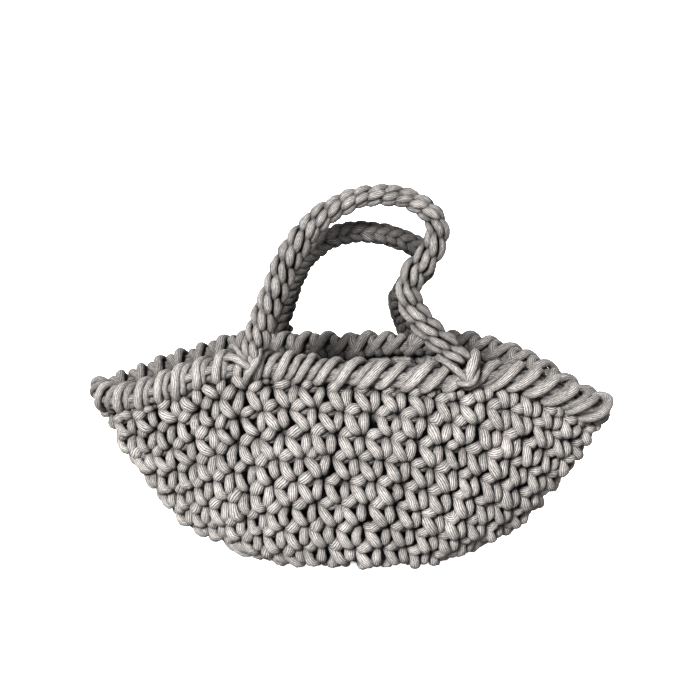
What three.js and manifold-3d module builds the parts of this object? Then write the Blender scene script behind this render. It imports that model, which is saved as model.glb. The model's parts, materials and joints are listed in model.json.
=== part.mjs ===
// Basket bag crocheted from thick cotton cord: a boat-shaped basket, a wrapped edging round its
// mouth, and two round crocheted handles whose feet stand on the edging.
// Millimetres, +Z up, +X to the right seen from the front, the front is at -Y.
// The origin is on the floor under the middle of the bag.
import * as THREE from "three";
import { mergeVertices } from "three/addons/utils/BufferGeometryUtils.js";
import Module from "manifold-3d";

const wasm = await Module();
wasm.setup();

// Driving dimensions
const WALL = 16; // single crochet wall, a little under two cords thick
const EDGING_WIDTH = 22; // edging across the wall
const EDGING_HEIGHT = 26; // edging along the wall
const EDGING_SHOULDER = 9; // the edging is at its full width from this height up
const HANDLE_DIAMETER = 20;
const GAP = 0.3; // clearance between pieces that touch

// How finely the walls are faceted
const ROUND_STEPS = 72;
const WALL_STEPS = 12;
const CROWN_STEPS = 6;
const HANDLE_SIDES = 10;
const HANDLE_STEPS = 52;
const SLOPE_STEP = 1e-3; // slopes are differences over this much rise, or this many radians
const MERGE_DISTANCE = 1e-3;

// The outer surface of the basket, a row for each section from the edge of the base to the edging.
// Each section is an oval round, shifted along X, whose tips droop below its middle.
const SECTIONS = [
  { name: "base edge", halfLength: 106, halfDepth: 50, shift: 6, middle: 0, leftTip: 0, rightTip: 0 },
  { name: "heel", halfLength: 139, halfDepth: 77, shift: 5, middle: 13, leftTip: 15, rightTip: 14 },
  { name: "low belly", halfLength: 165, halfDepth: 91, shift: 4, middle: 46, leftTip: 39, rightTip: 36 },
  { name: "belly", halfLength: 186, halfDepth: 93, shift: 3, middle: 86, leftTip: 68, rightTip: 62 },
  { name: "shoulder", halfLength: 203, halfDepth: 86, shift: 1, middle: 126, leftTip: 98, rightTip: 88 },
  { name: "edging seat", halfLength: 219, halfDepth: 74, shift: 0, middle: 165, leftTip: 128, rightTip: 113 },
];

// How much of the tip's droop a section has, by the place along its half length, left to right.
const DROOP = [
  { along: -1, front: 1, back: 1 },
  { along: -0.72, front: 0.46, back: 0.44 },
  { along: -0.45, front: -0.09, back: 0 },
  { along: 0, front: 0, back: 0 },
  { along: 0.35, front: 0.13, back: -0.08 },
  { along: 0.62, front: 0.2, back: 0.14 },
  { along: 1, front: 1, back: 1 },
];

// Centre lines of the handles, from the left foot to the right foot. Both legs on the right buckle.
const FRONT_HANDLE = [
  { x: -80, y: -60, z: 184 },
  { x: -72, y: -60, z: 212 },
  { x: -59, y: -58, z: 243 },
  { x: -45, y: -54, z: 272 },
  { x: -24, y: -50, z: 299 },
  { x: 6, y: -48, z: 316 },
  { x: 39, y: -48, z: 319 },
  { x: 62, y: -50, z: 309 },
  { x: 72, y: -51, z: 292 },
  { x: 64, y: -52, z: 271 },
  { x: 51, y: -53, z: 255 },
  { x: 48, y: -55, z: 237 },
  { x: 57, y: -57, z: 219 },
  { x: 75, y: -58, z: 199 },
  { x: 92, y: -57, z: 180 },
];
const BACK_HANDLE = [
  { x: -73, y: 61, z: 184 },
  { x: -66, y: 53, z: 208 },
  { x: -57, y: 36, z: 237 },
  { x: -43, y: 14, z: 265 },
  { x: -20, y: -6, z: 284 },
  { x: 8, y: -15, z: 291 },
  { x: 37, y: -15, z: 287 },
  { x: 60, y: -9, z: 274 },
  { x: 65, y: 3, z: 256 },
  { x: 53, y: 19, z: 240 },
  { x: 45, y: 36, z: 224 },
  { x: 48, y: 52, z: 205 },
  { x: 56, y: 61, z: 184 },
];

// Finishes
const COTTON = { roughness: 0.95, metalness: 0 };
const bodyCotton = new THREE.MeshStandardMaterial({ color: 0xb9b5b2, ...COTTON });
const edgingCotton = new THREE.MeshStandardMaterial({ color: 0xbdb9b6, ...COTTON });
const handleCotton = new THREE.MeshStandardMaterial({ color: 0xb4b0ad, ...COTTON });

// A smooth curve through a table's rows: the value of one column at a place given by row number.
function smooth(table, column, place) {
  const value = (row) => table[THREE.MathUtils.clamp(row, 0, table.length - 1)][column];
  const row = THREE.MathUtils.clamp(Math.floor(place), 0, table.length - 2);
  const t = place - row;
  const [before, start, end, after] = [row - 1, row, row + 1, row + 2].map(value);
  const slopeIn = (end - before) / 2;
  const slopeOut = (after - start) / 2;
  return (
    start * (1 + 2 * t) * (1 - t) ** 2 +
    end * t * t * (3 - 2 * t) +
    slopeIn * t * (1 - t) ** 2 -
    slopeOut * t * t * (1 - t)
  );
}

// The share of the droop on the front or back side, from -1 at the left tip to 1 at the right one.
function droopShare(side, along) {
  const row = DROOP.findLastIndex((entry, index) => index < DROOP.length - 1 && entry.along <= along);
  const start = Math.max(row, 0);
  const span = DROOP[start + 1].along - DROOP[start].along;
  return smooth(DROOP, side, start + (along - DROOP[start].along) / span);
}

// A point of the outer surface: rise is 0 at the base edge and 1 at the edging seat, turn is an angle
// that starts at the right tip and goes by the back.
function surfacePoint(rise, turn) {
  const column = (name) => smooth(SECTIONS, name, rise * (SECTIONS.length - 1));
  const along = Math.cos(turn);
  const across = Math.sin(turn);
  const tip = THREE.MathUtils.lerp(column("leftTip"), column("rightTip"), (1 + along) / 2);
  const droop = THREE.MathUtils.lerp(droopShare("front", along), droopShare("back", along), (1 + across) / 2);
  return new THREE.Vector3(
    column("shift") + column("halfLength") * along,
    column("halfDepth") * across,
    THREE.MathUtils.lerp(column("middle"), tip, droop),
  );
}

// The directions up the wall, and out of it, at a point of the outer surface.
function wallDirections(rise, turn) {
  const low = Math.max(rise - SLOPE_STEP, 0);
  const high = Math.min(rise + SLOPE_STEP, 1);
  const up = surfacePoint(high, turn).sub(surfacePoint(low, turn)).normalize();
  const round = surfacePoint(rise, turn + SLOPE_STEP).sub(surfacePoint(rise, turn - SLOPE_STEP));
  const out = round.cross(up).normalize();
  return { up, out };
}

// A point of the wall at a depth under its outer surface. The base turns straight up at its edge.
function wallPoint(rise, turn, depth) {
  const { out } = wallDirections(rise, turn);
  if (rise === 0) out.set(0, 0, -1);
  return surfacePoint(rise, turn).addScaledVector(out, -depth);
}

// A closed geometry from points and triangles.
function geometryOf(points, triangles) {
  const geometry = new THREE.BufferGeometry().setFromPoints(points);
  geometry.setIndex(triangles);
  const flat = geometry.toNonIndexed();
  flat.computeVertexNormals();
  return flat;
}

// Triangles of a band between two rings of points, given by the number of each ring's first point.
function band(lower, upper) {
  const triangles = [];
  for (let i = 0; i < ROUND_STEPS; i++) {
    const next = (i + 1) % ROUND_STEPS;
    triangles.push(lower + i, lower + next, upper + next, lower + i, upper + next, upper + i);
  }
  return triangles;
}

// Triangles from a ring of points to the point in its middle.
function fan(ring, middle) {
  const triangles = [];
  for (let i = 0; i < ROUND_STEPS; i++) {
    triangles.push(ring + ((i + 1) % ROUND_STEPS), ring + i, middle);
  }
  return triangles;
}

const turnOf = (step) => (2 * Math.PI * step) / ROUND_STEPS;

// The basket: its wall goes up outside, over the edging seat and down inside, and both skins close
// on the base.
function basketBody() {
  const points = [];
  const rings = [];
  const addRing = (rise, depth) => {
    rings.push(points.length);
    for (let i = 0; i < ROUND_STEPS; i++) points.push(wallPoint(rise, turnOf(i), depth));
  };
  for (let i = 0; i <= WALL_STEPS; i++) addRing(i / WALL_STEPS, 0);
  for (let i = WALL_STEPS; i >= 0; i--) addRing(i / WALL_STEPS, WALL);
  const outerMiddle = points.push(new THREE.Vector3(SECTIONS[0].shift, 0, 0)) - 1;
  const innerMiddle = points.push(new THREE.Vector3(SECTIONS[0].shift, 0, WALL)) - 1;
  const triangles = fan(rings[0], outerMiddle);
  for (let i = 1; i < rings.length; i++) triangles.push(...band(rings[i - 1], rings[i]));
  const innerFloor = fan(rings[rings.length - 1], innerMiddle).reverse();
  return geometryOf(points, [...triangles, ...innerFloor]);
}

// The edging's cross section: out across the wall and up from its seat, flat below and round above.
function edgingSection(swell) {
  const half = EDGING_WIDTH / 2 + swell;
  const low = GAP - swell;
  const high = GAP + EDGING_HEIGHT + swell;
  const crown = new THREE.EllipseCurve(0, high - half, half, half, 0, Math.PI);
  return [{ x: -WALL / 2, y: low }, { x: WALL / 2, y: low }, { x: half, y: EDGING_SHOULDER }]
    .concat(crown.getPoints(CROWN_STEPS))
    .concat([{ x: -half, y: EDGING_SHOULDER }]);
}

// The edging round the mouth. swell makes it larger all round, to cut a seat with clearance.
function edgingRing(swell) {
  const section = edgingSection(swell);
  const points = [];
  for (let i = 0; i < ROUND_STEPS; i++) {
    const { up, out } = wallDirections(1, turnOf(i));
    const seat = wallPoint(1, turnOf(i), WALL / 2);
    for (const { x, y } of section) {
      points.push(seat.clone().addScaledVector(out, x).addScaledVector(up, y));
    }
  }
  const triangles = [];
  const count = section.length;
  for (let i = 0; i < ROUND_STEPS; i++) {
    const here = i * count;
    const there = ((i + 1) % ROUND_STEPS) * count;
    for (let j = 0; j < count; j++) {
      const next = (j + 1) % count;
      triangles.push(here + j, there + j, here + next, there + j, there + next, here + next);
    }
  }
  return geometryOf(points, triangles);
}

// A handle as a round tube along its centre line, with both feet cut to stand on the edging.
function handle(route) {
  const path = new THREE.CatmullRomCurve3(route.map(({ x, y, z }) => new THREE.Vector3(x, y, z)));
  const radius = HANDLE_DIAMETER / 2;
  const circle = new THREE.EllipseCurve(0, 0, radius, radius);
  const section = new THREE.Shape(circle.getPoints(HANDLE_SIDES).slice(1));
  const tube = new THREE.ExtrudeGeometry(section, { extrudePath: path, steps: HANDLE_STEPS });
  return geometryFrom(solidFrom(tube).subtract(solidFrom(edgingRing(GAP))));
}

// A three.js geometry as a solid that can be cut.
function solidFrom(geometry) {
  const bare = geometry.clone();
  bare.deleteAttribute("normal");
  bare.deleteAttribute("uv");
  const merged = mergeVertices(bare, MERGE_DISTANCE);
  return new wasm.Manifold(
    new wasm.Mesh({
      numProp: 3,
      vertProperties: merged.attributes.position.array,
      triVerts: new Uint32Array(merged.index.array),
    }),
  );
}

// The largest body of a cut solid as a three.js geometry.
function geometryFrom(solid) {
  const [largest] = solid.decompose().sort((a, b) => b.volume() - a.volume());
  const { vertProperties, triVerts } = largest.getMesh();
  const geometry = new THREE.BufferGeometry();
  geometry.setAttribute("position", new THREE.BufferAttribute(new Float32Array(vertProperties), 3));
  geometry.setIndex([...triVerts]);
  const flat = geometry.toNonIndexed();
  flat.computeVertexNormals();
  return flat;
}

function piece(name, geometry, material) {
  const mesh = new THREE.Mesh(geometry, material);
  mesh.name = name;
  return mesh;
}

const bag = new THREE.Group();
bag.add(piece("basket_body", basketBody(), bodyCotton));
bag.add(piece("rim_edging", edgingRing(0), edgingCotton));
bag.add(piece("front_handle", handle(FRONT_HANDLE), handleCotton));
bag.add(piece("back_handle", handle(BACK_HANDLE), handleCotton));

export default bag;
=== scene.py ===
"""Basket bag of thick cotton cord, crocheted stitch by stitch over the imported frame.

The basket is worked in rounds of single crochet from the middle of its base to the mouth, the edging
is cord wrapped round the mouth, and each handle is a narrow tube worked in a spiral. Every strand is
a round tube carried along a smooth route through a short table of key points.
"""

import json
import math

import bpy
import numpy as np
from bpy.props import FloatProperty, FloatVectorProperty, IntProperty, PointerProperty
from bpy.types import Operator, Panel, PropertyGroup
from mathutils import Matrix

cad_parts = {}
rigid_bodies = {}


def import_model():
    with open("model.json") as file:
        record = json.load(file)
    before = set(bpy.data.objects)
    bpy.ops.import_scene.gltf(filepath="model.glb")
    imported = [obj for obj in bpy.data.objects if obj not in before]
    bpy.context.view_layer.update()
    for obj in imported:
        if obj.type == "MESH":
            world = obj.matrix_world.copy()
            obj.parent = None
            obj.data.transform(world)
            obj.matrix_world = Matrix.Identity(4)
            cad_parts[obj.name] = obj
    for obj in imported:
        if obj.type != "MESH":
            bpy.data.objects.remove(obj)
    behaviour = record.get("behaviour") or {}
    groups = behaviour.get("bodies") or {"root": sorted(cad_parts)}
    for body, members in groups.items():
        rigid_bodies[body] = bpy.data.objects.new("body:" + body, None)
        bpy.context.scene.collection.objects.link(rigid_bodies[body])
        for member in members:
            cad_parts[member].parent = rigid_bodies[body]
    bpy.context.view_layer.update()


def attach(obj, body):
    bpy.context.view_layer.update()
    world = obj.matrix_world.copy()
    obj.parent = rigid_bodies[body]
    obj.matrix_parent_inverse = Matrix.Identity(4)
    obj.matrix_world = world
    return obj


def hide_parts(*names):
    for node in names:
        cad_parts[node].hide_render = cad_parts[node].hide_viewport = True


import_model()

bl_info = {
    "name": "Crocheted basket bag",
    "version": (1, 0, 0),
    "blender": (4, 5, 0),
    "location": "3D View > Sidebar > Basket bag",
    "description": "Builds a boat-shaped basket bag from crocheted cotton cord",
    "category": "Add Mesh",
}

MM = 0.001

# The basket's outer skin, millimetres: a row for each oval section from the middle of the base up.
HALF_LENGTH, HALF_DEPTH, SHIFT, MIDDLE, LEFT_TIP, RIGHT_TIP, PINCH = range(7)
SECTIONS = np.array([
    (58, 3, 6, 0, 0, 0, 0),  # middle of the base
    (106, 60, 6, 0, 0, 0, 0.05),  # base edge
    (143, 80, 2.5, 12, 15, 14, 0.2),  # heel
    (169, 91, 1, 46, 39, 36, 0.3),  # low belly
    (191, 93, 1, 86, 68, 62, 0.33),  # belly
    (211, 86, 1, 126, 98, 88, 0.27),  # shoulder
    (226, 74, 0.5, 165, 128, 113, 0.1),  # seat of the edging
], dtype=float)

# Share of the tips' droop by the place along the half length, on the front and the back side.
ALONG, FRONT, BACK = range(3)
DROOP = np.array([
    (-1.0, 1.0, 1.0),
    (-0.9, 1.0, 0.78),
    (-0.72, 0.56, 0.44),
    (-0.45, -0.09, 0.0),
    (0.0, 0.0, 0.0),
    (0.35, 0.13, -0.08),
    (0.62, 0.2, 0.14),
    (1.0, 1.0, 1.0),
])

FOUNDATION = 10  # openings in the foundation cord
FOUNDATION_WAVE = 3.5  # how far the foundation cord waves to either side, millimetres
FOUNDATION_HEIGHT = 6.0  # its height over the floor, millimetres
# Stitches in each round, from the first round on the base to the last one under the edging
ROUNDS = (16, 20, 24, 28, 30, 32, 34, 36, 38, 38, 40, 40, 40)
FULL_ROUNDS = 11  # the rounds below the edging in the middle, where it hides the last ones
FIRST_ROUND = 6 * MM  # the way from the middle of the base to the foot of the first round
SQUEEZED = 0.25  # height of a row hidden by the edging against a full row
HIDDEN_AFTER = 0.25  # rows over the last full round from which a strand counts as hidden
HIDDEN_GIRTH = 0.5  # share of its girth that a hidden strand loses
LEAN = 0.27  # each stitch's top opening lies this share of a stitch to the right of its foot
SHARING = 0.16  # stitches by which two stitches worked into one opening stand to either side of it
FRONT_MIDDLE = 0.75  # share of the round at the middle of the front, where each round starts
BACK_MIDDLE = 0.25  # share of the round at the middle of the back

# Rows by which the rounds slip down towards the tips, by the distance from a tip in shares of the round
SLIP_AWAY = (0.0, 0.03, 0.06, 0.12, 0.16, 0.19, 0.22)
SLIP_LEFT = (1.6, 1.45, 1.25, 0.7, 0.35, 0.1, 0.0)
SLIP_RIGHT = (1.5, 1.4, 1.2, 0.7, 0.35, 0.1, 0.0)
# How much of that slip a round has, by its number
SLIP_ROUND = (0, 2, 4, 6, 8, 11, 13)
SLIP_SHARE = (0.0, 0.4, 1.1, 1.35, 1.25, 0.95, 0.95)

# In evening the stitches, the way from front to back counts for this much of the way to the side, but a
# step counts for at least the second share of its true length.
EVEN_DEPTH = 0.35
EVEN_LEAST = 0.75
STRAND_PRESSED = 0.75  # thickness of a strand in the basket against its width
# Spread of the random draws for a whole stitch and for each of its keys, by the columns of the table below
STITCH_WOBBLE = (0.05, 0.04, 0.09, 0.05)
STITCH_SHAKE = (0.025, 0.025, 0.06, 0.04)
FACING = np.array([0.35, 1.0, 1.0])  # turns the stitches near the tips to the front and back

# One single crochet seen from outside: stitches to the right of its foot, rows up, cord
# thicknesses out of the fabric, and girth of the strand there.
RIGHT, UP, OUT, GIRTH = range(4)
SINGLE_CROCHET = np.array([
    (0.42, 0.75, -0.85, 0.85),  # behind, on the way down from the stitch before
    (0.18, 0.30, -0.95, 0.85),
    (0.10, 0.17, -0.60, 0.78),  # upright leg, out of the opening
    (0.11, 0.25, 0.05, 0.85),
    (0.13, 0.41, 0.55, 0.99),
    (0.14, 0.64, 0.56, 0.99),
    (0.15, 0.81, 0.08, 0.85),
    (0.15, 0.89, -0.50, 0.78),
    (-0.18, 0.86, 0.08, 0.92),  # under the chain
    (-0.51, 0.90, -0.65, 0.82),
    (-0.50, 0.82, -0.15, 0.84),  # slanting leg
    (-0.43, 0.66, 0.52, 0.98),
    (-0.27, 0.39, 0.86, 1.06),
    (-0.15, 0.21, 0.50, 0.94),
    (-0.11, 0.13, -0.35, 0.80),  # back in through the opening
    (-0.10, 0.25, -1.05, 0.85),  # behind, up to the neck
    (-0.06, 0.86, -1.00, 0.85),
    (0.10, 1.24, -0.72, 0.90),
    (-0.08, 1.22, -0.30, 0.88),  # front strand of the chain
    (-0.20, 1.16, 0.40, 1.06),
    (-0.33, 1.06, 0.56, 1.12),
    (-0.43, 0.98, 0.10, 1.00),
    (-0.46, 0.96, -0.55, 0.82),
    (-0.95, 1.02, -0.85, 0.82),  # round the next neck
    (-0.80, 1.14, -1.00, 0.85),  # back strand of the chain
])

# Centre lines of the handles from the left foot to the right foot, millimetres.
FRONT_HANDLE = np.array([
    (-81, -62, 186), (-75, -60, 213), (-62, -58, 245), (-48, -54, 275), (-26, -50, 302),
    (5, -48, 319), (39, -48, 321), (63, -50, 311), (73, -51, 293), (65, -52, 272),
    (52, -53, 256), (49, -55, 238), (58, -57, 220), (76, -60, 200), (93, -65, 183),
], dtype=float)
BACK_HANDLE = np.array([
    (-71, 61, 184), (-62, 53, 207), (-53, 36, 235), (-40, 14, 262), (-18, -6, 281),
    (8, -15, 288), (37, -15, 284), (60, -9, 272), (65, 3, 255), (53, 19, 240),
    (45, 36, 224), (48, 52, 205), (56, 61, 184),
], dtype=float)

INNER_FACE = 0.5  # cord thicknesses by which the inner face of the fabric lies deeper than the outer one

# Grid of the fabric's middle surface
GRID_PER_SECTION = 24
GRID_ROUND = 1440

SIDES = 12  # corners round a strand
TAIL = 0.1 * MM  # length by which an open strand goes on after its last key


class BasketBagSettings(PropertyGroup):
    """Sizes and colours of the bag and its stage."""

    cord: FloatProperty(
        name="Cord",
        description="Thickness of the cord in the basket",
        default=9.1 * MM,
        unit="LENGTH",
    )
    handle_cord: FloatProperty(
        name="Handle cord",
        description="Thickness of the cord in the handles",
        default=7.2 * MM,
        unit="LENGTH",
    )
    depth: FloatProperty(
        name="Depth",
        description="Middle of the fabric under its outer skin",
        default=11.5 * MM,
        unit="LENGTH",
    )
    handle_radius: FloatProperty(
        name="Handle radius",
        description="Radius of a handle at its top",
        default=9.3 * MM,
        unit="LENGTH",
    )
    ribs: IntProperty(name="Ribs", description="Ribs round one strand", default=16)
    looseness: FloatProperty(
        name="Looseness",
        description="How unevenly the stitches lie",
        default=1.0,
        min=0.0,
        max=3.0,
    )
    colour: FloatVectorProperty(
        name="Cotton",
        description="Colour of the cord",
        subtype="COLOR",
        default=(0.395, 0.380, 0.369),
        min=0,
        max=1,
    )
    floor_colour: FloatVectorProperty(
        name="Floor",
        description="Colour of the floor",
        subtype="COLOR",
        default=(0.90, 0.90, 0.90),
        min=0,
        max=1,
    )
    elevation: FloatProperty(
        name="Elevation",
        description="Height angle of the camera",
        default=math.radians(11),
        unit="ROTATION",
    )
    distance: FloatProperty(
        name="Distance",
        description="Camera to the middle of the bag",
        default=1.2,
        unit="LENGTH",
    )
    lens: FloatProperty(name="Lens", description="Focal length of the camera", default=70.0, unit="CAMERA")
    seed: IntProperty(name="Seed", description="Start of the random numbers", default=7)


def unit(vectors):
    """The vectors scaled to length one."""
    return vectors / np.maximum(np.linalg.norm(vectors, axis=-1, keepdims=True), 1e-12)


def dot(a, b):
    """Dot products along the last axis, kept as a column."""
    return np.sum(a * b, axis=-1, keepdims=True)


def table_curve(table, place):
    """Cubic Hermite curve through the rows of a table at places counted in rows.

    The slope at a row is half the difference of its neighbours, and the end rows repeat.
    """
    row = np.clip(np.floor(place).astype(int), 0, len(table) - 2)
    t = (place - row)[..., None]
    before, start, end, after = (table[np.clip(row + step, 0, len(table) - 1)] for step in (-1, 0, 1, 2))
    rise = start * (1 + 2 * t) * (1 - t) ** 2 + end * t * t * (3 - 2 * t)
    return rise + (end - before) / 2 * t * (1 - t) ** 2 - (after - start) / 2 * t * t * (1 - t)


def skin(place, turn):
    """Outer skin of the basket: an oval of the section at a place, its tips drooping by the droop table.

    x is the shift plus the half length times the cosine of the turn, y the half depth times its sine,
    less the pinch times the cosine squared, which draws the ends together.
    """
    section = table_curve(SECTIONS, place)
    along = np.cos(turn)
    across = np.sin(turn)
    rows = np.interp(along, DROOP[:, ALONG], np.arange(len(DROOP)))
    shares = table_curve(DROOP, rows)
    share = shares[..., FRONT] + (shares[..., BACK] - shares[..., FRONT]) * (1 + across) / 2
    tip = section[..., LEFT_TIP] + (section[..., RIGHT_TIP] - section[..., LEFT_TIP]) * (1 + along) / 2
    x = section[..., SHIFT] + section[..., HALF_LENGTH] * along
    y = section[..., HALF_DEPTH] * across * (1 - section[..., PINCH] * along**2)
    z = np.maximum(section[..., MIDDLE] + (tip - section[..., MIDDLE]) * share, 0)
    return np.stack([x, y, z], axis=-1) * MM


class Fabric:
    """The middle surface of the basket's wall as a grid over places and even shares of each round."""

    def __init__(self, settings):
        """Lays the grid: skin points moved in by the depth along the normal, then evened round by round."""
        self.cord = settings.cord
        places = np.linspace(0, len(SECTIONS) - 1, (len(SECTIONS) - 1) * GRID_PER_SECTION + 1)
        turns = np.linspace(0, 2 * math.pi, GRID_ROUND + 1)
        outer = skin(places[:, None], turns[None, :])
        across = np.gradient(outer, axis=1)
        across[:, 0] = across[:, -1] = outer[:, 1] - outer[:, -2]
        normals = unit(np.cross(across, np.gradient(outer, axis=0)))
        middle = outer - normals * settings.depth
        steps = np.diff(middle, axis=1)
        seen = np.linalg.norm(steps * (1, EVEN_DEPTH, 1), axis=-1)
        steps = np.maximum(seen, np.linalg.norm(steps, axis=-1) * EVEN_LEAST)
        lengths = np.concatenate([np.zeros((len(places), 1)), np.cumsum(steps, axis=1)], axis=1)
        even = np.linspace(0, 1, GRID_ROUND + 1)
        stack = np.concatenate([middle, normals], axis=-1)
        grid = np.empty_like(stack)
        for row, length in enumerate(lengths):
            for column in range(stack.shape[-1]):
                grid[row, :, column] = np.interp(even * length[-1], length, stack[row, :, column])
        self.grid = grid
        self.places = places
        self.round_lengths = lengths[:, -1]
        front = grid[:, int(FRONT_MIDDLE * GRID_ROUND), :3]
        climb = np.linalg.norm(np.diff(front, axis=0), axis=-1)
        self.climb = np.concatenate([[0], np.cumsum(climb)])

    def sample(self, place, share):
        """Points and normals of the middle surface, straight between the grid's points."""
        rows, columns = self.grid.shape[:2]
        i = place * GRID_PER_SECTION
        j = np.mod(share, 1.0) * GRID_ROUND
        row = np.clip(np.floor(i).astype(int), 0, rows - 2)
        column = np.clip(np.floor(j).astype(int), 0, columns - 2)
        s = (i - row)[..., None]
        t = (j - column)[..., None]
        low = self.grid[row, column] * (1 - t) + self.grid[row, column + 1] * t
        high = self.grid[row + 1, column] * (1 - t) + self.grid[row + 1, column + 1] * t
        both = low * (1 - s) + high * s
        return both[..., :3], unit(both[..., 3:])

    def place_at(self, climb):
        """The place at a length climbed up the front from the base's middle, straight on over the end."""
        end = self.climb[-1]
        slope = (self.places[-1] - self.places[-2]) / (end - self.climb[-2])
        return np.interp(climb, self.climb, self.places) + np.maximum(climb - end, 0) * slope

    def slipped(self, row, share):
        """The place of a height in rows after the slip towards the tips, and the rows over the full rounds.

        Rows over the last full round are squeezed together inside the edging.
        """
        round_share = np.mod(share, 1.0)
        left = np.interp(np.abs(round_share - 0.5), SLIP_AWAY, SLIP_LEFT)
        right = np.interp(np.minimum(round_share, 1 - round_share), SLIP_AWAY, SLIP_RIGHT)
        row = row - (left + right) * np.interp(row, SLIP_ROUND, SLIP_SHARE)
        over = np.maximum(row - FULL_ROUNDS, 0)
        row = np.minimum(row, FULL_ROUNDS) + over * SQUEEZED
        return self.place_at(FIRST_ROUND + row * (self.climb[-1] - FIRST_ROUND) / FULL_ROUNDS), over


def through(keys, steps, closed):
    """Catmull-Rom curve through the keys, with the given number of samples from each key to the next."""
    if closed:
        before, after, beyond = (np.roll(keys, shift, axis=0) for shift in (1, -1, -2))
        start = keys
    else:
        before = np.concatenate([keys[:1], keys[:-2]])
        start, after = keys[:-1], keys[1:]
        beyond = np.concatenate([keys[2:], keys[-1:]])
    a, b, c, d = (part[:, None] for part in (before, start, after, beyond))
    t = (np.arange(steps) / steps)[None, :, None]
    curve = b + t / 2 * (c - a + t * (2 * a - 5 * b + 4 * c - d + t * (3 * (b - c) + d - a)))
    curve = curve.reshape(-1, keys.shape[-1])
    return curve if closed else np.concatenate([curve, keys[-1:]])


def carried_normals(tangents, outward, closed):
    """Normals carried along each stitch with no twist, then turned evenly so that each meets the next.

    tangents has a row for each stitch, and outward is each stitch's normal at its first sample.
    """
    following = np.concatenate([tangents[:, 1:], np.roll(tangents[:, :1], -1, axis=0)], axis=1)
    normal = unit(outward - dot(outward, tangents[:, 0]) * tangents[:, 0])
    carried = []
    for step in range(tangents.shape[1]):
        carried.append(normal)
        ahead = following[:, step]
        normal = unit(normal - dot(normal, ahead) * ahead)
    carried = np.stack(carried, axis=1)
    target = np.roll(carried[:, 0], -1, axis=0)
    angle = np.arctan2(dot(np.cross(normal, target), following[:, -1]), dot(normal, target))
    if not closed:
        angle[-1] = 0
    turn = angle[:, None] * (np.arange(tangents.shape[1]) / tangents.shape[1])[None, :, None]
    return carried * np.cos(turn) + np.cross(tangents, carried) * np.sin(turn)


def strand(keys, girths, lifts, outward, steps, closed=True, pressed=1.0):
    """A round tube along the route through a grid of keys, one row of keys for each stitch.

    girths are the tube's radii at the keys, outward points out of the fabric there, and lifts says how
    far out of its middle each key is. The tube is pressed to the given share of its thickness along
    outward. Returns points, their lifts, quads, end caps and UVs: U goes once round the strand, V along it.
    """
    stitches = len(girths)
    columns = [keys, girths[..., None], np.broadcast_to(lifts, girths.shape)[..., None], outward]
    flat = np.concatenate([column.reshape(-1, column.shape[-1]) for column in columns], axis=-1)
    route = through(flat, steps, closed)
    if not closed:
        route = np.concatenate([route, np.repeat(route[-1:], steps - 1, axis=0)])
        onward = unit(route[-steps, :3] - route[-steps - 1, :3])
        route[-steps:, :3] += np.linspace(0, TAIL, steps)[:, None] * onward
    path, girth, lift, outwards = route[:, :3], route[:, 3], route[:, 4], unit(route[:, 5:8])
    ahead = np.roll(path, -1, axis=0) - np.roll(path, 1, axis=0)
    if not closed:
        ahead[0] = path[1] - path[0]
        ahead[-1] = path[-1] - path[-2]
    tangents = unit(ahead)
    normals = carried_normals(tangents.reshape(stitches, -1, 3), -outward[:, 0], closed).reshape(-1, 3)
    sideways = np.cross(tangents, normals)
    angle = (2 * math.pi * np.arange(SIDES) / SIDES)[None, :, None]
    ring = np.cos(angle) * normals[:, None] + np.sin(angle) * sideways[:, None]
    raised = dot(ring, outwards[:, None])
    ring = ring - (1 - pressed) * raised * outwards[:, None]
    lift = (lift[:, None] + raised[..., 0] * girth[:, None]).reshape(-1)
    points = (path[:, None] + ring * girth[:, None, None]).reshape(-1, 3)
    points[:, 2] = np.maximum(points[:, 2], 0)
    rings = len(path)
    gaps = rings if closed else rings - 1
    i = np.arange(gaps)[:, None]
    j = np.arange(SIDES)[None, :]
    here, there = i * SIDES, (i + 1) % rings * SIDES
    right = (j + 1) % SIDES
    quads = np.stack(np.broadcast_arrays(here + j, here + right, there + right, there + j), axis=-1)
    quads = quads.reshape(-1, 4)
    travel = np.linalg.norm(np.diff(path, axis=0, append=path[:1]), axis=-1)
    lengths = np.concatenate([[0], np.cumsum(travel)])
    start, end = lengths[:gaps, None], lengths[1 : gaps + 1, None]
    u0, u1 = j / SIDES, (j + 1) / SIDES
    corners = [(u0, start), (u1, start), (u1, end), (u0, end)]
    uvs = np.stack([np.stack(np.broadcast_arrays(u, v), axis=-1) for u, v in corners], axis=2)
    uvs = uvs.reshape(-1, 2)
    caps = [] if closed else [np.arange(SIDES)[::-1], (rings - 1) * SIDES + np.arange(SIDES)]
    return points, lift, quads, caps, uvs


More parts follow.
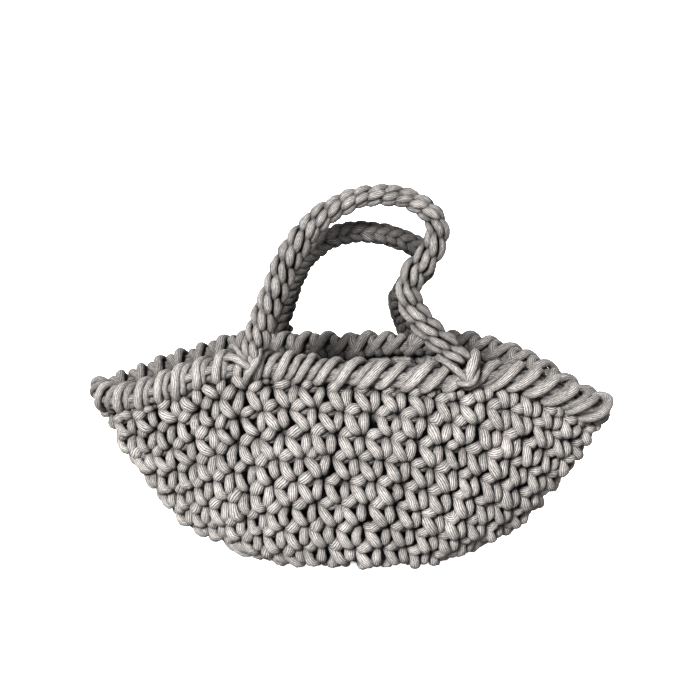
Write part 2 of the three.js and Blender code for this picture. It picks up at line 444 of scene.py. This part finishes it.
def mesh_piece(name, strands, material):
    """One smooth mesh object from several strands, with a UV map named strand and an attribute lift, which
    the painted shade reads.
    """
    points, lifts, loops, sizes, uvs = [], [], [], [], []
    base = 0
    for part_points, part_lifts, quads, caps, part_uvs in strands:
        points.append(part_points)
        lifts.append(part_lifts)
        loops.append((quads + base).reshape(-1))
        sizes.append(np.full(len(quads), 4))
        uvs.append(part_uvs)
        for cap in caps:
            loops.append(cap + base)
            sizes.append([len(cap)])
            uvs.append(np.zeros((len(cap), 2)))
        base += len(part_points)
    points, lifts, loops, sizes, uvs = (np.concatenate(part) for part in (points, lifts, loops, sizes, uvs))
    mesh = bpy.data.meshes.new(name)
    mesh.vertices.add(len(points))
    mesh.vertices.foreach_set("co", points.astype(np.float32).ravel())
    mesh.loops.add(len(loops))
    mesh.loops.foreach_set("vertex_index", loops.astype(np.int32))
    mesh.polygons.add(len(sizes))
    mesh.polygons.foreach_set("loop_start", (np.cumsum(sizes) - sizes).astype(np.int32))
    mesh.polygons.foreach_set("use_smooth", np.ones(len(sizes), dtype=bool))
    layer = mesh.uv_layers.new(name="strand")
    layer.uv.foreach_set("vector", uvs.astype(np.float32).ravel())
    lift = mesh.attributes.new("lift", "FLOAT", "POINT")
    lift.data.foreach_set("value", lifts.astype(np.float32))
    mesh.update(calc_edges=True)
    mesh.validate()
    mesh.materials.append(material)
    piece = bpy.data.objects.new(name, mesh)
    bpy.context.scene.collection.objects.link(piece)
    return piece


def cotton(name, settings, cord, dark, bright, painted_light=1.0):
    """Matte cotton cord whose knitted ribs run along each strand.

    The ribs are the root of the size of a sine round the strand, which gives round ribs with narrow
    grooves. Streaks are noise on a cylinder drawn out along the strand. Both set the bump's height, and
    the colour darkens where that height is low, a painted shade in the grooves with the streaks' random
    tone. The cord is also darker the lower its lift, a painted shade in the recesses and where strands
    dive into the fabric: dark and bright are the lifts, in cord thicknesses, where this painted shade is
    darkest and where it stops. The painted light factor lightens a copy of the same cotton, painted light
    on the edging and the handles.
    """
    material = bpy.data.materials.new(name)
    material.use_nodes = True
    nodes, links = material.node_tree.nodes, material.node_tree.links
    shader = nodes["Principled BSDF"]
    shader.inputs["Roughness"].default_value = 0.85
    shader.inputs["Specular IOR Level"].default_value = 0.25
    shader.inputs["Sheen Weight"].default_value = 0.08
    shader.inputs["Sheen Roughness"].default_value = 0.5

    def linked(kind, sockets, **settings_of_node):
        """A new node whose inputs are linked to sockets or set to values."""
        made = nodes.new(kind)
        for key, value in settings_of_node.items():
            setattr(made, key, value)
        for key, value in sockets.items():
            if isinstance(value, bpy.types.NodeSocket):
                links.new(value, made.inputs[key])
            else:
                made.inputs[key].default_value = value
        return made

    def calc(operation, first, second=0.0):
        """The result of a math node."""
        return linked("ShaderNodeMath", {0: first, 1: second}, operation=operation).outputs["Value"]

    uv = linked("ShaderNodeUVMap", {}, uv_map="strand")
    split = linked("ShaderNodeSeparateXYZ", {"Vector": uv.outputs["UV"]})
    place = nodes.new("ShaderNodeTexCoord").outputs["Object"]
    angle = calc("MULTIPLY", split.outputs["X"], 2 * math.pi)
    along = calc("MULTIPLY", split.outputs["Y"], 1.0 / cord)
    cylinder = linked("ShaderNodeCombineXYZ", {
        "X": calc("MULTIPLY", calc("COSINE", angle), 2.4),
        "Y": calc("MULTIPLY", calc("SINE", angle), 2.4),
        "Z": along,
    })
    drawn_out = cylinder.outputs["Vector"]
    streak = linked("ShaderNodeTexNoise", {"Vector": drawn_out, "Scale": 2.2, "Detail": 4.0})
    wander = linked("ShaderNodeTexNoise", {"Vector": place, "Scale": 0.7 / cord, "Detail": 1.0})
    patch = linked("ShaderNodeTexNoise", {"Vector": place, "Scale": 0.35 / cord, "Detail": 2.0})
    grain = linked("ShaderNodeTexNoise", {"Vector": place, "Scale": 520.0, "Detail": 1.0})
    drift = calc("MULTIPLY", wander.outputs["Fac"], 8.0)
    turn = calc("ADD", calc("MULTIPLY", angle, settings.ribs / 2), drift)
    rib = calc("POWER", calc("ABSOLUTE", calc("SINE", turn)), 0.5)
    height = calc("ADD", calc("MULTIPLY", rib, 0.6), calc("MULTIPLY", streak.outputs["Fac"], 0.7))
    # Painted shade in the rib grooves: the colour darkens where the bump's height is low, and the streaks
    # add random tone.
    streak_tone_and_groove_shade = linked("ShaderNodeMapRange", {
        "Value": height, "From Min": 0.55, "From Max": 0.98, "To Min": 0.38, "To Max": 1.0,
    })
    # Painted shade: the cord darkens the lower its lift, in the recesses between strands and where they
    # dive in. The inner face counts from its own crest, so it is not darkened as a whole.
    lift = linked("ShaderNodeAttribute", {}, attribute_name="lift").outputs["Fac"]
    inner = calc("SUBTRACT", -INNER_FACE * cord, lift)
    depth = linked("ShaderNodeMapRange", {
        "Value": calc("MAXIMUM", lift, inner), "From Min": dark * cord, "From Max": bright * cord,
        "To Min": 0.36, "To Max": 1.0,
    })
    mottle = linked("ShaderNodeMapRange", {
        "Value": patch.outputs["Fac"], "From Min": 0.3, "From Max": 0.7, "To Min": 0.9, "To Max": 1.1,
    })
    loops = linked("ShaderNodeMapRange", {
        "Value": grain.outputs["Fac"], "From Min": 0.35, "From Max": 0.65, "To Min": 0.86, "To Max": 1.08,
    })
    # The colour's factor: painted shade in the grooves and recesses, times random tone from mottle and
    # grain.
    shade = calc("MULTIPLY", streak_tone_and_groove_shade.outputs["Result"], depth.outputs["Result"])
    shade = calc("MULTIPLY", shade, calc("MULTIPLY", mottle.outputs["Result"], loops.outputs["Result"]))
    # The painted light factor lightens this copy of the cotton.
    colour = (*(channel * painted_light for channel in settings.colour), 1)
    tone = linked("ShaderNodeMix", {"Factor": shade, 6: (0, 0, 0, 1), 7: colour}, data_type="RGBA")
    links.new(tone.outputs[2], shader.inputs["Base Color"])
    bump = linked("ShaderNodeBump", {"Strength": 0.7, "Distance": 0.0012, "Height": height})
    links.new(bump.outputs["Normal"], shader.inputs["Normal"])
    return material


def nearest_parents(tops, parents, parent_count):
    """For each stitch, the number of the opening below that it is worked into.

    Counted in stitches from the middle of the front or back, the inner half goes straight up, and
    the outer half is drawn together, so that the added stitches share openings near the tips.
    """
    count = len(tops)
    side = np.where(np.mod(tops, 1) < 0.5, BACK_MIDDLE, FRONT_MIDDLE)
    from_middle = (np.mod(tops, 1) - side) * count
    reach, parent_reach = count / 4, parent_count / 4
    straight = parent_reach * 0.5
    outer = straight + (np.abs(from_middle) - straight) * (parent_reach - straight) / (reach - straight)
    drawn = np.where(np.abs(from_middle) < straight, np.abs(from_middle), outer) * np.sign(from_middle)
    wanted = side + drawn / parent_count
    return np.rint((parents[0] - wanted) * parent_count).astype(int)


def crochet_rounds(fabric, settings):
    """Key points and girths of every round of the basket.

    A stitch's foot is in an opening of the round below, and its top keeps an even share of its own
    round, so its keys run from the one to the other as they rise.
    """
    random = np.random.default_rng(settings.seed)
    loose = settings.looseness
    openings = FRONT_MIDDLE - np.arange(FOUNDATION) / FOUNDATION
    below = FOUNDATION
    rounds = []
    for number, count in enumerate(ROUNDS):
        first = FRONT_MIDDLE + (openings[0] - FRONT_MIDDLE) * below / count
        tops = first - np.arange(count) / count
        parent = nearest_parents(tops, openings, below)
        feet = openings[0] - parent / below
        feet = feet + np.rint(tops - feet)
        shared = np.concatenate([[False], np.diff(parent) == 0])
        apart = np.where(np.roll(shared, -1), SHARING, 0.0) - np.where(shared, SHARING, 0.0)
        feet = feet + apart / below
        wobble = random.normal(0, 1, (count, 4)) * loose
        shake = random.normal(0, 1, (count, len(SINGLE_CROCHET), 4)) * loose
        stray = wobble[:, None] * STITCH_WOBBLE + shake * STITCH_SHAKE
        right = SINGLE_CROCHET[:, RIGHT] + stray[..., RIGHT]
        up = SINGLE_CROCHET[:, UP] + stray[..., UP]
        out = SINGLE_CROCHET[:, OUT] + stray[..., OUT]
        girths = SINGLE_CROCHET[:, GIRTH] * (1 + stray[..., GIRTH])
        rise = np.clip(up, 0, 1)
        share = feet[:, None] * (1 - rise) + tops[:, None] * rise
        share = share + right * ((1 - rise) / below + rise / count)
        place, over = fabric.slipped(number + up, share)
        hidden = np.clip(over / HIDDEN_AFTER, 0, 1)
        # A hidden strand's key moves in to the fabric's middle, and its lift there gives it the darkest
        # painted shade.
        lifts = (out * (1 - hidden) - INNER_FACE / 2 * hidden) * settings.cord
        girths = girths * (1 - HIDDEN_GIRTH * hidden)
        middle, normals = fabric.sample(place, share)
        outward = unit(normals * FACING)
        rounds.append((middle + outward * lifts[..., None], girths * settings.cord / 2, lifts, outward))
        openings = tops + LEAN / count
        below = count
    return rounds


def foundation(settings):
    """The cord along the middle of the base that the first round is worked into, in small waves."""
    ends = SECTIONS[0, SHIFT] + SECTIONS[0, HALF_LENGTH] * np.array([-1, 1])
    x = np.linspace(*ends, 2 * FOUNDATION + 1)
    y = FOUNDATION_WAVE * np.cos(math.pi * np.arange(len(x)))
    z = np.full(len(x), FOUNDATION_HEIGHT)
    keys = np.stack([x, y, z], axis=-1)[None] * MM
    girths = np.full(keys.shape[:2], settings.cord / 2)
    outward = np.broadcast_to(np.array([0.0, 0.0, -1.0]), keys.shape)
    # Its lift of half its girth sets its painted shade.
    return strand(keys, girths, girths / 2, outward, steps=4, closed=False)


def claim(piece, node):
    """The piece rides with the bag and stands for its node, which is hidden."""
    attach(piece, "root")
    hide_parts(node)


class BASKET_OT_body(Operator):
    """Crochets the basket in rounds from the middle of its base to the mouth."""

    bl_idname = "basket.body"
    bl_label = "Basket body"

    def execute(self, context):
        settings = context.scene.basket_bag
        fabric = Fabric(settings)
        # The painted shade is darkest at a lift of -0.5 cord and stops at 1.2.
        material = cotton("body_cotton", settings, settings.cord, -0.5, 1.2)
        rounds = crochet_rounds(fabric, settings)
        groups = {
            "basket_base": rounds[:4],
            "basket_belly": rounds[4:8],
            "basket_wall": rounds[8:11],
            "basket_top": rounds[11:],
        }
        for name, group in groups.items():
            strands = [strand(*keys, steps=2, pressed=STRAND_PRESSED) for keys in group]
            if name == "basket_base":
                strands.append(foundation(settings))
            claim(mesh_piece(name, strands, material), "basket_body")
        return {"FINISHED"}


class BASKET_OT_edging(Operator):
    """Wraps cord round the top of the wall, leaning to the right as it climbs outside."""

    bl_idname = "basket.edging"
    bl_label = "Rim edging"

    def execute(self, context):
        settings = context.scene.basket_bag
        fabric = Fabric(settings)
        # The wraps are the basket's cord in a lighter copy, painted light. Their painted shade is darkest
        # at a lift of -0.8 cord and stops at 1.3.
        material = cotton("edging_cotton", settings, settings.cord, -0.8, 1.3, painted_light=1.12)
        strands = [edging_wraps(fabric, settings)]
        strands += [edging_core(fabric, settings, turn, reach) for turn, reach in EDGING_CORES]
        strands += [binding(route, foot, side, settings) for foot, side, routes in FEET for route in routes]
        claim(mesh_piece("edging_wraps", strands, material), "rim_edging")
        return {"FINISHED"}


# One edging stitch is a thick and a thin wrap: stitches to the right, angle round the edge in degrees
# from outside over the top, distance from the edge's middle line in cord thicknesses, and girth.
TURN = 1
EDGING_PAIR = np.array([
    (0.02, -78, 0.95, 0.82),  # thick wrap, up outside
    (0.12, -48, 1.28, 0.88),
    (0.36, -5, 1.42, 0.92),
    (0.62, 40, 1.42, 0.92),
    (0.80, 80, 1.42, 0.94),  # over the top
    (0.96, 118, 1.40, 0.98),
    (1.16, 158, 1.30, 1.04),  # down inside, on to the right
    (1.36, 200, 1.15, 1.00),
    (1.45, 235, 0.80, 0.88),
    (1.10, 265, 0.60, 0.75),  # back under the edge
    (0.62, 292, 0.80, 0.75),  # thin wrap, up outside
    (0.74, 325, 1.00, 0.76),
    (0.97, 375, 1.06, 0.78),
    (1.19, 420, 1.08, 0.84),
    (1.32, 462, 1.14, 0.96),  # over the top
    (1.26, 505, 1.18, 1.06),
    (1.08, 550, 1.12, 1.06),  # down inside, back to the left
    (0.95, 590, 0.95, 0.95),
    (0.93, 618, 0.65, 0.78),
])
# How far the wraps lean by the share of the round, against the ones in the middle of the front
LEAN_SHARE = (0.0, 0.25, 0.5, 0.6, 0.68, 0.75, 0.9, 1.0)
LEAN_FACTOR = (1.6, 1.3, 0.8, 0.55, 0.95, 1.45, 1.6, 1.6)
EDGING_STITCHES = 50
EDGING_PRESSED = 0.8  # thickness of a wrap against its width
# Angles of the core cords in degrees, and their distances from the middle line in cord thicknesses
EDGING_CORES = ((-50, 0.68), (10, 0.78), (85, 0.66), (150, 0.6), (205, 0.7))
EDGING_CORE_GIRTH = 0.45  # radius of a core cord in cord thicknesses
EDGING_MIDDLE = 11 * MM  # height of the edge's middle line over its seat
EDGING_WIDTH = 0.8  # width of the edge against its height
EDGING_BARE = 0.9  # distance from the middle line, in cord thicknesses, that counts as no lift for the painted shade
EDGING_SHADE = 0.7  # cord thicknesses by which the lift is less on the inside, a painted shade on the edge's inner face
LEAN_ABOUT = 0.6  # stitches to the right where a leaning wrap keeps its place
# Spread of the random draws for a whole stitch, and for each of its keys to the right and out
EDGING_WOBBLE = (0.06, 4, 0.06, 0.06)
EDGING_SHAKE = (0.03, 0.03)
CORE_WOBBLE = (6, 0.05)  # the same for a core cord's angle in degrees and its distance


def edging_frame(fabric, share):
    """Points of the edge's middle line at shares of the round, with the directions out and up there."""
    seat_place = np.full(share.shape, float(len(SECTIONS) - 1))
    seat, out = fabric.sample(seat_place, share)
    below, _ = fabric.sample(seat_place - 0.1, share)
    up = unit(seat - below)
    return seat + up * EDGING_MIDDLE, out, up


def edging_strand(fabric, share, turn, reach, girths):
    """A strand round the edge's middle line: a circle, drawn taller than wide, that moves along."""
    middle, out, up = edging_frame(fabric, share)
    spoke = out * (np.cos(turn) * EDGING_WIDTH)[..., None] + up * np.sin(turn)[..., None]
    # The inner face's lift is lowered, so the painted shade darkens the inside of the edge.
    shade = EDGING_SHADE * np.clip(-np.cos(turn), 0, 1)
    lifts = reach - (EDGING_BARE + shade) * fabric.cord
    keys = middle + spoke * reach[..., None]
    return strand(keys, girths, lifts, unit(spoke), steps=3, pressed=EDGING_PRESSED)


def edging_wraps(fabric, settings):
    """The wraps of the whole edge, each stitch a little off its place."""
    random = np.random.default_rng(settings.seed + 1)
    wobble = random.normal(0, 1, (EDGING_STITCHES, 4)) * settings.looseness * EDGING_WOBBLE
    shake = random.normal(0, 1, (EDGING_STITCHES, len(EDGING_PAIR), 2)) * settings.looseness * EDGING_SHAKE
    number = np.arange(EDGING_STITCHES)[:, None]
    lean = np.interp(number / EDGING_STITCHES, LEAN_SHARE, LEAN_FACTOR)
    right = LEAN_ABOUT + (EDGING_PAIR[None, :, RIGHT] - LEAN_ABOUT) * lean
    right = right + wobble[:, :1] + shake[..., 0]
    turn = np.radians(EDGING_PAIR[None, :, TURN] + wobble[:, 1:2])
    reach = (EDGING_PAIR[None, :, OUT] + wobble[:, 2:3] + shake[..., 1]) * settings.cord
    girths = EDGING_PAIR[None, :, GIRTH] * (1 + wobble[:, 3:4]) * settings.cord / 2
    return edging_strand(fabric, (number + right) / EDGING_STITCHES, turn, reach, girths)


def edging_core(fabric, settings, degrees, reach):
    """One of the cords that the wraps are wound over, at an angle and distance from the middle line."""
    random = np.random.default_rng(settings.seed + 3 + abs(degrees))
    wobble = random.normal(0, 1, (2, EDGING_STITCHES, 2)) * settings.looseness
    share = (np.arange(EDGING_STITCHES)[:, None] + np.array([[0.0, 0.5]])) / EDGING_STITCHES
    turn = np.radians(degrees + wobble[0] * CORE_WOBBLE[0])
    reaches = (reach + wobble[1] * CORE_WOBBLE[1]) * settings.cord
    girths = np.full(share.shape, EDGING_CORE_GIRTH) * settings.cord
    return edging_strand(fabric, share, turn, reaches, girths)


# Strands that bind a handle's foot to the edge: millimetres to the right of the foot, out from it and
# up, and the strand's thickness.
RIGHT_FOOT = (
    np.array([
        (15, -5, 2, 7), (13, 3, 11, 8), (11, 10, 6, 9.5),
        (8, 12, -3, 9.5), (6, 10, -11, 8), (5, 3, -16, 7),
    ]),
    np.array([
        (-18, 0, 6, 6), (-13, 10, 6, 6.5), (-6, 13, 1, 6.5),
        (1, 14, -5, 6.5), (5, 11, -10, 6), (7, 2, -14, 6),
    ]),
    np.array([
        (-4, 3, -14, 5), (0, 11, -13, 5.5), (6, 14, -13, 5.5),
        (11, 13, -11, 5.5), (14, 10, -5, 5), (15, 2, 0, 5),
    ]),
)
LEFT_FOOT = (
    np.array([
        (5, 0, 21, 6), (4, 5, 11, 7), (3, 9, 5, 7), (0, 12, -1, 7),
        (-4, 12, -7, 7), (-7, 8, -14, 6), (-8, 1, -18, 6),
    ]),
    np.array([
        (-24, -2, 2, 6), (-19, 7, 5, 7), (-13, 12, 4, 7),
        (-7, 13, 0, 7), (-2, 11, -4, 6.5), (0, 3, -8, 6),
    ]),
    np.array([(-6, -2, 21, 5), (-5, 3, 12, 6), (-3, 8, 5, 6), (-1, 11, 0, 6), (0, 4, -6, 5)]),
    np.array([(-20, -4, 12, 4.5), (-15, 2, 12, 5), (-11, 8, 7, 5), (-7, 10, 3, 5), (-5, 4, -2, 4.5)]),
)
BINDING_LIFT = 0.6  # lift of these strands in cord thicknesses, which sets their painted shade
# Where the feet stand in millimetres, and whether their outside is the front or the back of the bag
FEET = (
    ((92, -57, 180), -1, RIGHT_FOOT),
    ((-80, -60, 184), -1, LEFT_FOOT),
    ((56, 61, 184), 1, LEFT_FOOT),
    ((-73, 61, 184), 1, RIGHT_FOOT),
)


def binding(route, foot, side, settings):
    """A short strand through the route, given from its foot and turned to the foot's side of the bag."""
    right, out, up, thickness = route.T
    x, y, z = foot
    keys = np.stack([x - side * right, y + side * out, z + up], axis=-1)[None] * MM
    outward = np.broadcast_to(np.array([0.0, side, 0.0]), keys.shape)
    lifts = np.full(thickness.shape, BINDING_LIFT)[None] * settings.cord
    return strand(keys, thickness[None] * MM / 2, lifts, outward, steps=4, closed=False)


class BASKET_OT_handles(Operator):
    """Crochets each handle as a narrow tube worked in a spiral."""

    bl_idname = "basket.handles"
    bl_label = "Handles"

    def execute(self, context):
        settings = context.scene.basket_bag
        # The handles' cotton is a slightly lighter copy, painted light. Its painted shade is darkest at a
        # lift of -0.1 cord and stops at 1.0.
        material = cotton("handle_cotton", settings, settings.handle_cord, -0.1, 1.0, painted_light=1.02)
        for name, *shape in HANDLES:
            strands = [handle_spiral(*shape, settings)]
            claim(mesh_piece(f"{name}_cord", strands, material), name)
        return {"FINISHED"}


# One stitch of a handle: stitches to the right, rows up, cord thicknesses out of the handle's skin, and
# girth of the strand there.
HANDLE_STITCH = np.array([
    (0.34, -0.14, -1.05, 0.50),  # out from under the stitch below
    (0.28, 0.02, -0.66, 0.70),
    (0.15, 0.26, -0.42, 0.98),
    (-0.02, 0.54, -0.38, 1.06),
    (-0.18, 0.82, -0.46, 0.92),
    (-0.28, 1.04, -0.84, 0.62),  # in under the stitch above
    (0.0, 0.70, -1.15, 0.60),  # inside, on to the next stitch
])
HANDLE_PRESSED = 0.8  # thickness of a strand in a handle against its width
HANDLE_MIDDLE = -0.65  # the middle of a handle's fabric, in cord thicknesses out of its skin, from which the lifts for the painted shade are counted
HANDLE_ROUND = 6  # stitches in a turn
HANDLE_CENTRE = 0.45  # rows up where a longer stitch keeps its place
HANDLE_FINE = 24  # samples of a handle's centre line from each point to the next
# Spread of the random draws for a whole stitch and for each of its keys
HANDLE_WOBBLE = (0.06, 0.04, 0.04, 0.05)
HANDLE_SHAKE = (0.03, 0.02, 0.02)
# Node, centre line, stitches by which they are turned to the right from the front, how far they lean to
# the left as they rise, whether every second one leans to the right, how long they are against the row,
# row lengths in millimetres at the left foot, top and right foot, and the handle's thickness there
# against its top.
HANDLES = (
    ("front_handle", FRONT_HANDLE, 0.0, 1.3, False, 1.1, (14.2, 12.2, 16.5), (1.31, 1.0, 1.24)),
    ("back_handle", BACK_HANDLE, 0.5, 1.5, True, 1.3, (10.4, 10.0, 10.4), (1.1, 1.0, 1.1)),
)
# Shares of the handle's length up to which the left foot's sizes hold, between which the top's hold and
# from which the right foot's hold
SHARES = (0.28, 0.44, 0.6, 0.7)


def handle_spiral(route, facing, lean, mirrored, reach, row_lengths, sizes, settings):
    """A spiral of stitches round a centre line, a row to each turn, each stitch a leaf along the handle.

    A key's angle round the centre line is its stitches to the right over the stitches in a turn, and its
    distance from the line is the handle's radius there plus its way out of the skin.
    """
    fine = through(route * MM, HANDLE_FINE, closed=False)
    steps = np.linalg.norm(np.diff(fine, axis=0), axis=-1)
    lengths = np.concatenate([[0], np.cumsum(steps)])
    share = lengths / lengths[-1]
    row_length, size = (
        np.interp(share, SHARES, (left, top, top, right)) for left, top, right in (row_lengths, sizes)
    )
    rows = np.concatenate([[0], np.cumsum(steps / (row_length[1:] * MM))])
    whole = np.rint(rows[-1])
    rows = rows * (whole / rows[-1])
    count = int(whole) * HANDLE_ROUND - 1
    number = np.arange(count)[:, None]
    random = np.random.default_rng(settings.seed + 2)
    wobble = random.normal(0, 1, (count, 4)) * settings.looseness * HANDLE_WOBBLE
    shake = random.normal(0, 1, (count, len(HANDLE_STITCH), 3)) * settings.looseness * HANDLE_SHAKE
    leaning = np.where(mirrored & (number % 2 == 0), -lean, lean)
    right = HANDLE_STITCH[None, :, RIGHT] * leaning + wobble[:, :1] + shake[..., 0] - number + facing
    up = HANDLE_CENTRE + (HANDLE_STITCH[None, :, UP] - HANDLE_CENTRE) * reach
    row = up + number / HANDLE_ROUND + wobble[:, 1:2] + shake[..., 1]
    along = np.interp(row, rows, lengths)
    out = (HANDLE_STITCH[None, :, OUT] + wobble[:, 2:3] + shake[..., 2]) * settings.handle_cord
    centre, ahead, behind = (
        np.stack([np.interp(along + step, lengths, fine[:, axis]) for axis in range(3)], axis=-1)
        for step in (0, MM, -MM)
    )
    tangent = unit(ahead - behind)
    viewer = np.array([0.0, -1.0, 0.0])
    front = unit(viewer - dot(viewer, tangent) * tangent)
    side = np.cross(tangent, front)
    angle = (2 * math.pi * right / HANDLE_ROUND)[..., None]
    outward = np.cos(angle) * front + np.sin(angle) * side
    radius = settings.handle_radius * np.interp(along, lengths, size)
    keys = centre + outward * (radius + out)[..., None]
    # The lifts set the painted shade: the deeper a key lies under the handle's skin, the darker its cord.
    lifts = out - HANDLE_MIDDLE * settings.handle_cord
    girths = HANDLE_STITCH[None, :, GIRTH] * (1 + wobble[:, 3:4]) * settings.handle_cord / 2
    return strand(keys, girths, lifts, outward, steps=3, closed=False, pressed=HANDLE_PRESSED)


FLOOR_RADIUS = 30.0
FLOOR_CORNERS = 96
FLOOR_GLOW = 0.8
SHADE_SIZE = (100, 46, 1000)  # half sizes of the oval of floor under the bag where the glow fades out, a painted shadow over the bag's real shade, millimetres
SHADE_CORE = 0.7  # share of that oval which doesn't glow at all, the darkest part of the painted shadow
AIM = np.array([0.0, 0.0, 0.182])  # the point that the camera looks at
SENSOR = 36.0  # width of the camera's sensor, millimetres
GAMMA = 0.54
EXPOSURE = 0.28
KEY_UNLIT = {"floor", "back_handle_cord"}  # pieces that the key light leaves out
# Name, direction, strength and softness in degrees of each light
SUNS = (
    ("soft key", (-0.36, -0.8, 0.46), 3.2, 18),
    ("key", (-0.36, -0.8, 0.46), 3.1, 18),
    ("bounce", (-0.1, -0.8, -0.55), 1.3, 60),
    ("fill", (0.7, -0.9, 0.1), 0.7, 60),
    ("back right", (0.7, 1.0, 0.25), 2.8, 60),
    ("back left", (-0.7, 1.0, 0.1), 2.8, 60),
    ("dome", (0.0, -0.3, 1.0), 0.4, 175),
    ("front dome", (0.0, -1.0, 0.1), 0.6, 175),
)


class BASKET_OT_stage(Operator):
    """Lays the floor, which glows but for a painted shadow under the bag, and sets the camera and soft
    lights.
    """

    bl_idname = "basket.stage"
    bl_label = "Stage"

    def execute(self, context):
        settings = context.scene.basket_bag
        scene = context.scene
        floor = self.floor(scene, settings)
        self.camera(scene, settings)
        lights = {name: self.sun(scene, name, *light) for name, *light in SUNS}
        lit = bpy.data.collections.new("lit by the key")
        for piece in scene.collection.objects:
            if piece.type == "MESH" and piece.name not in KEY_UNLIT:
                lit.objects.link(piece)
        lights["key"].light_linking.receiver_collection = lit
        world = bpy.data.worlds.new("studio")
        world.use_nodes = True
        background = world.node_tree.nodes["Background"]
        background.inputs["Color"].default_value = (1, 1, 1, 1)
        world.cycles_visibility.diffuse = False
        scene.world = world
        scene.view_settings.view_transform = "Standard"
        scene.view_settings.gamma = GAMMA
        scene.view_settings.exposure = EXPOSURE
        return {"FINISHED"}

    def floor(self, scene, settings):
        """A round floor that glows but for an oval under the bag, a painted shadow, and lights nothing
        itself.
        """
        angle = 2 * math.pi * np.arange(FLOOR_CORNERS) / FLOOR_CORNERS
        rim = np.stack([np.cos(angle), np.sin(angle), np.zeros(FLOOR_CORNERS)], axis=-1) * FLOOR_RADIUS
        mesh = bpy.data.meshes.new("floor")
        mesh.from_pydata(rim.tolist(), [], [list(range(FLOOR_CORNERS))])
        floor = bpy.data.objects.new("floor", mesh)
        scene.collection.objects.link(floor)
        paint = bpy.data.materials.new("floor_paper")
        paint.use_nodes = True
        nodes, links = paint.node_tree.nodes, paint.node_tree.links
        shader = nodes["Principled BSDF"]
        shader.inputs["Base Color"].default_value = (*settings.floor_colour, 1)
        shader.inputs["Roughness"].default_value = 0.9
        shader.inputs["Emission Color"].default_value = (1, 1, 1, 1)
        shrunk = nodes.new("ShaderNodeMapping")
        shrunk.inputs["Scale"].default_value = 1 / (np.array(SHADE_SIZE) * MM)
        links.new(nodes.new("ShaderNodeTexCoord").outputs["Object"], shrunk.inputs["Vector"])
        far = nodes.new("ShaderNodeVectorMath")
        far.operation = "LENGTH"
        links.new(shrunk.outputs["Vector"], far.inputs[0])
        # The glow fades out towards the middle of the oval, a painted shadow under the bag.
        glow = nodes.new("ShaderNodeMapRange")
        glow.inputs["From Min"].default_value = SHADE_CORE
        glow.inputs["To Max"].default_value = FLOOR_GLOW
        links.new(far.outputs["Value"], glow.inputs["Value"])
        links.new(glow.outputs["Result"], shader.inputs["Emission Strength"])
        mesh.materials.append(paint)
        floor.visible_diffuse = False
        floor.visible_shadow = False
        return floor

    def camera(self, scene, settings):
        """The photo's camera: straight in front, looking down by the elevation."""
        data = bpy.data.cameras.new("camera")
        data.lens = settings.lens
        data.sensor_width = SENSOR
        camera = bpy.data.objects.new("camera", data)
        back = np.array([0.0, -math.cos(settings.elevation), math.sin(settings.elevation)])
        camera.location = AIM + back * settings.distance
        camera.rotation_euler = (math.pi / 2 - settings.elevation, 0, 0)
        scene.collection.objects.link(camera)
        scene.camera = camera

    def sun(self, scene, name, direction, strength, softness):
        """An even light from a direction, as soft as a wide screen of that many degrees."""
        data = bpy.data.lights.new(name, "SUN")
        data.energy = strength
        data.angle = math.radians(softness)
        light = bpy.data.objects.new(name, data)
        light.location = direction
        yaw = math.atan2(direction[0], -direction[1])
        tilt = math.atan2(math.hypot(direction[0], direction[1]), direction[2])
        light.rotation_euler = (tilt, 0, yaw)
        scene.collection.objects.link(light)
        return light


class BASKET_PT_panel(Panel):
    """Lists the bag's settings and the operators that build it."""

    bl_idname = "BASKET_PT_panel"
    bl_label = "Basket bag"
    bl_space_type = "VIEW_3D"
    bl_region_type = "UI"
    bl_category = "Basket bag"

    def draw(self, context):
        settings = context.scene.basket_bag
        for name in settings.bl_rna.properties.keys():
            if name not in {"rna_type", "name"}:
                self.layout.prop(settings, name)
        for operator in OPERATORS:
            self.layout.operator(operator.bl_idname)


OPERATORS = (BASKET_OT_body, BASKET_OT_edging, BASKET_OT_handles, BASKET_OT_stage)
CLASSES = (BasketBagSettings, *OPERATORS, BASKET_PT_panel)


def register():
    """Registers the classes and the scene's settings."""
    for cls in CLASSES:
        bpy.utils.register_class(cls)
    bpy.types.Scene.basket_bag = PointerProperty(type=BasketBagSettings)


def unregister():
    """Takes them out again."""
    del bpy.types.Scene.basket_bag
    for cls in reversed(CLASSES):
        bpy.utils.unregister_class(cls)


def main():
    """Registers the add-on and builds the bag."""
    register()
    bpy.ops.basket.body()
    bpy.ops.basket.edging()
    bpy.ops.basket.handles()
    bpy.ops.basket.stage()


if __name__ == "__main__":
    main()
